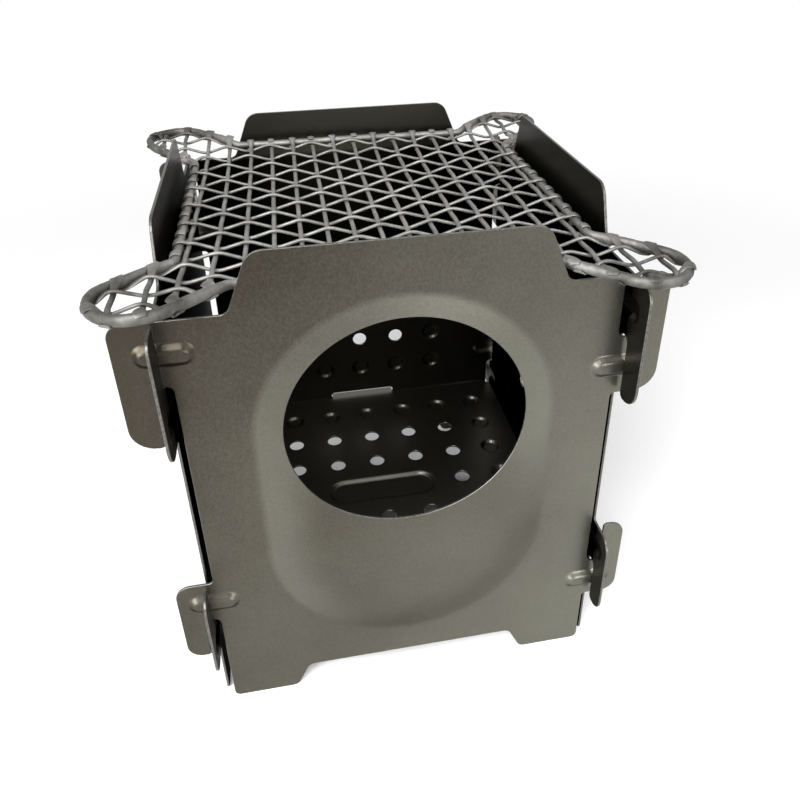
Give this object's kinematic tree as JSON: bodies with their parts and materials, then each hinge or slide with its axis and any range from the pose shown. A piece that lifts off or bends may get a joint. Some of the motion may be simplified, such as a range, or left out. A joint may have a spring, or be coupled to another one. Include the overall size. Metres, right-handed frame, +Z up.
{
  "type": "flat-pack camping stove",
  "caption": "Flat-pack wood-burning camping stove of hooked sheet-steel plates with a perforated fire tray, a round fuel opening and a woven wire grill.",
  "frame": {"origin": "middle of the stove on the ground plane under the feet", "axes": "+Z up, -Y towards the plate with the round fuel opening, +X to the right seen from the front"},
  "size_m": [0.158, 0.158, 0.1678],
  "materials": {
    "plate_steel": "bead-blasted stainless sheet, satin, warm grey",
    "tray_steel": "satin stainless sheet, slightly darker",
    "rim_wire_steel": "dull drawn stainless wire",
    "mesh_wire_steel": "drawn and crimped stainless wire"
  },
  "bodies": {
    "stove": {"front_plate": "plate_steel", "right_plate": "plate_steel", "back_plate": "plate_steel", "left_plate": "plate_steel", "fire_tray": "tray_steel"},
    "grill": {"grill_rim": "rim_wire_steel", "warp_wire_01": "mesh_wire_steel", "warp_wire_02": "mesh_wire_steel", "warp_wire_03": "mesh_wire_steel", "warp_wire_04": "mesh_wire_steel", "warp_wire_05": "mesh_wire_steel", "warp_wire_06": "mesh_wire_steel", "warp_wire_07": "mesh_wire_steel", "warp_wire_08": "mesh_wire_steel", "warp_wire_09": "mesh_wire_steel", "warp_wire_10": "mesh_wire_steel", "warp_wire_11": "mesh_wire_steel", "warp_wire_12": "mesh_wire_steel", "warp_wire_13": "mesh_wire_steel", "warp_wire_14": "mesh_wire_steel", "warp_wire_15": "mesh_wire_steel", "weft_wire_01": "mesh_wire_steel", "weft_wire_02": "mesh_wire_steel", "weft_wire_03": "mesh_wire_steel", "weft_wire_04": "mesh_wire_steel", "weft_wire_05": "mesh_wire_steel", "weft_wire_06": "mesh_wire_steel", "weft_wire_07": "mesh_wire_steel", "weft_wire_08": "mesh_wire_steel", "weft_wire_09": "mesh_wire_steel", "weft_wire_10": "mesh_wire_steel", "weft_wire_11": "mesh_wire_steel", "weft_wire_12": "mesh_wire_steel", "weft_wire_13": "mesh_wire_steel", "weft_wire_14": "mesh_wire_steel", "weft_wire_15": "mesh_wire_steel", "ear_warp_wire_1": "mesh_wire_steel", "ear_warp_wire_2": "mesh_wire_steel", "ear_warp_wire_3": "mesh_wire_steel", "ear_warp_wire_4": "mesh_wire_steel", "ear_warp_wire_5": "mesh_wire_steel", "ear_warp_wire_6": "mesh_wire_steel", "ear_warp_wire_7": "mesh_wire_steel", "ear_warp_wire_8": "mesh_wire_steel", "ear_weft_wire_1": "mesh_wire_steel", "ear_weft_wire_2": "mesh_wire_steel", "ear_weft_wire_3": "mesh_wire_steel", "ear_weft_wire_4": "mesh_wire_steel", "ear_weft_wire_5": "mesh_wire_steel", "ear_weft_wire_6": "mesh_wire_steel", "ear_weft_wire_7": "mesh_wire_steel", "ear_weft_wire_8": "mesh_wire_steel"}
  },
  "joints": [
    {"name": "grill_lift", "type": "slide", "parent": "stove", "child": "grill", "axis": [0, 0, 1], "range_m": [0, 0.05]}
  ]
}
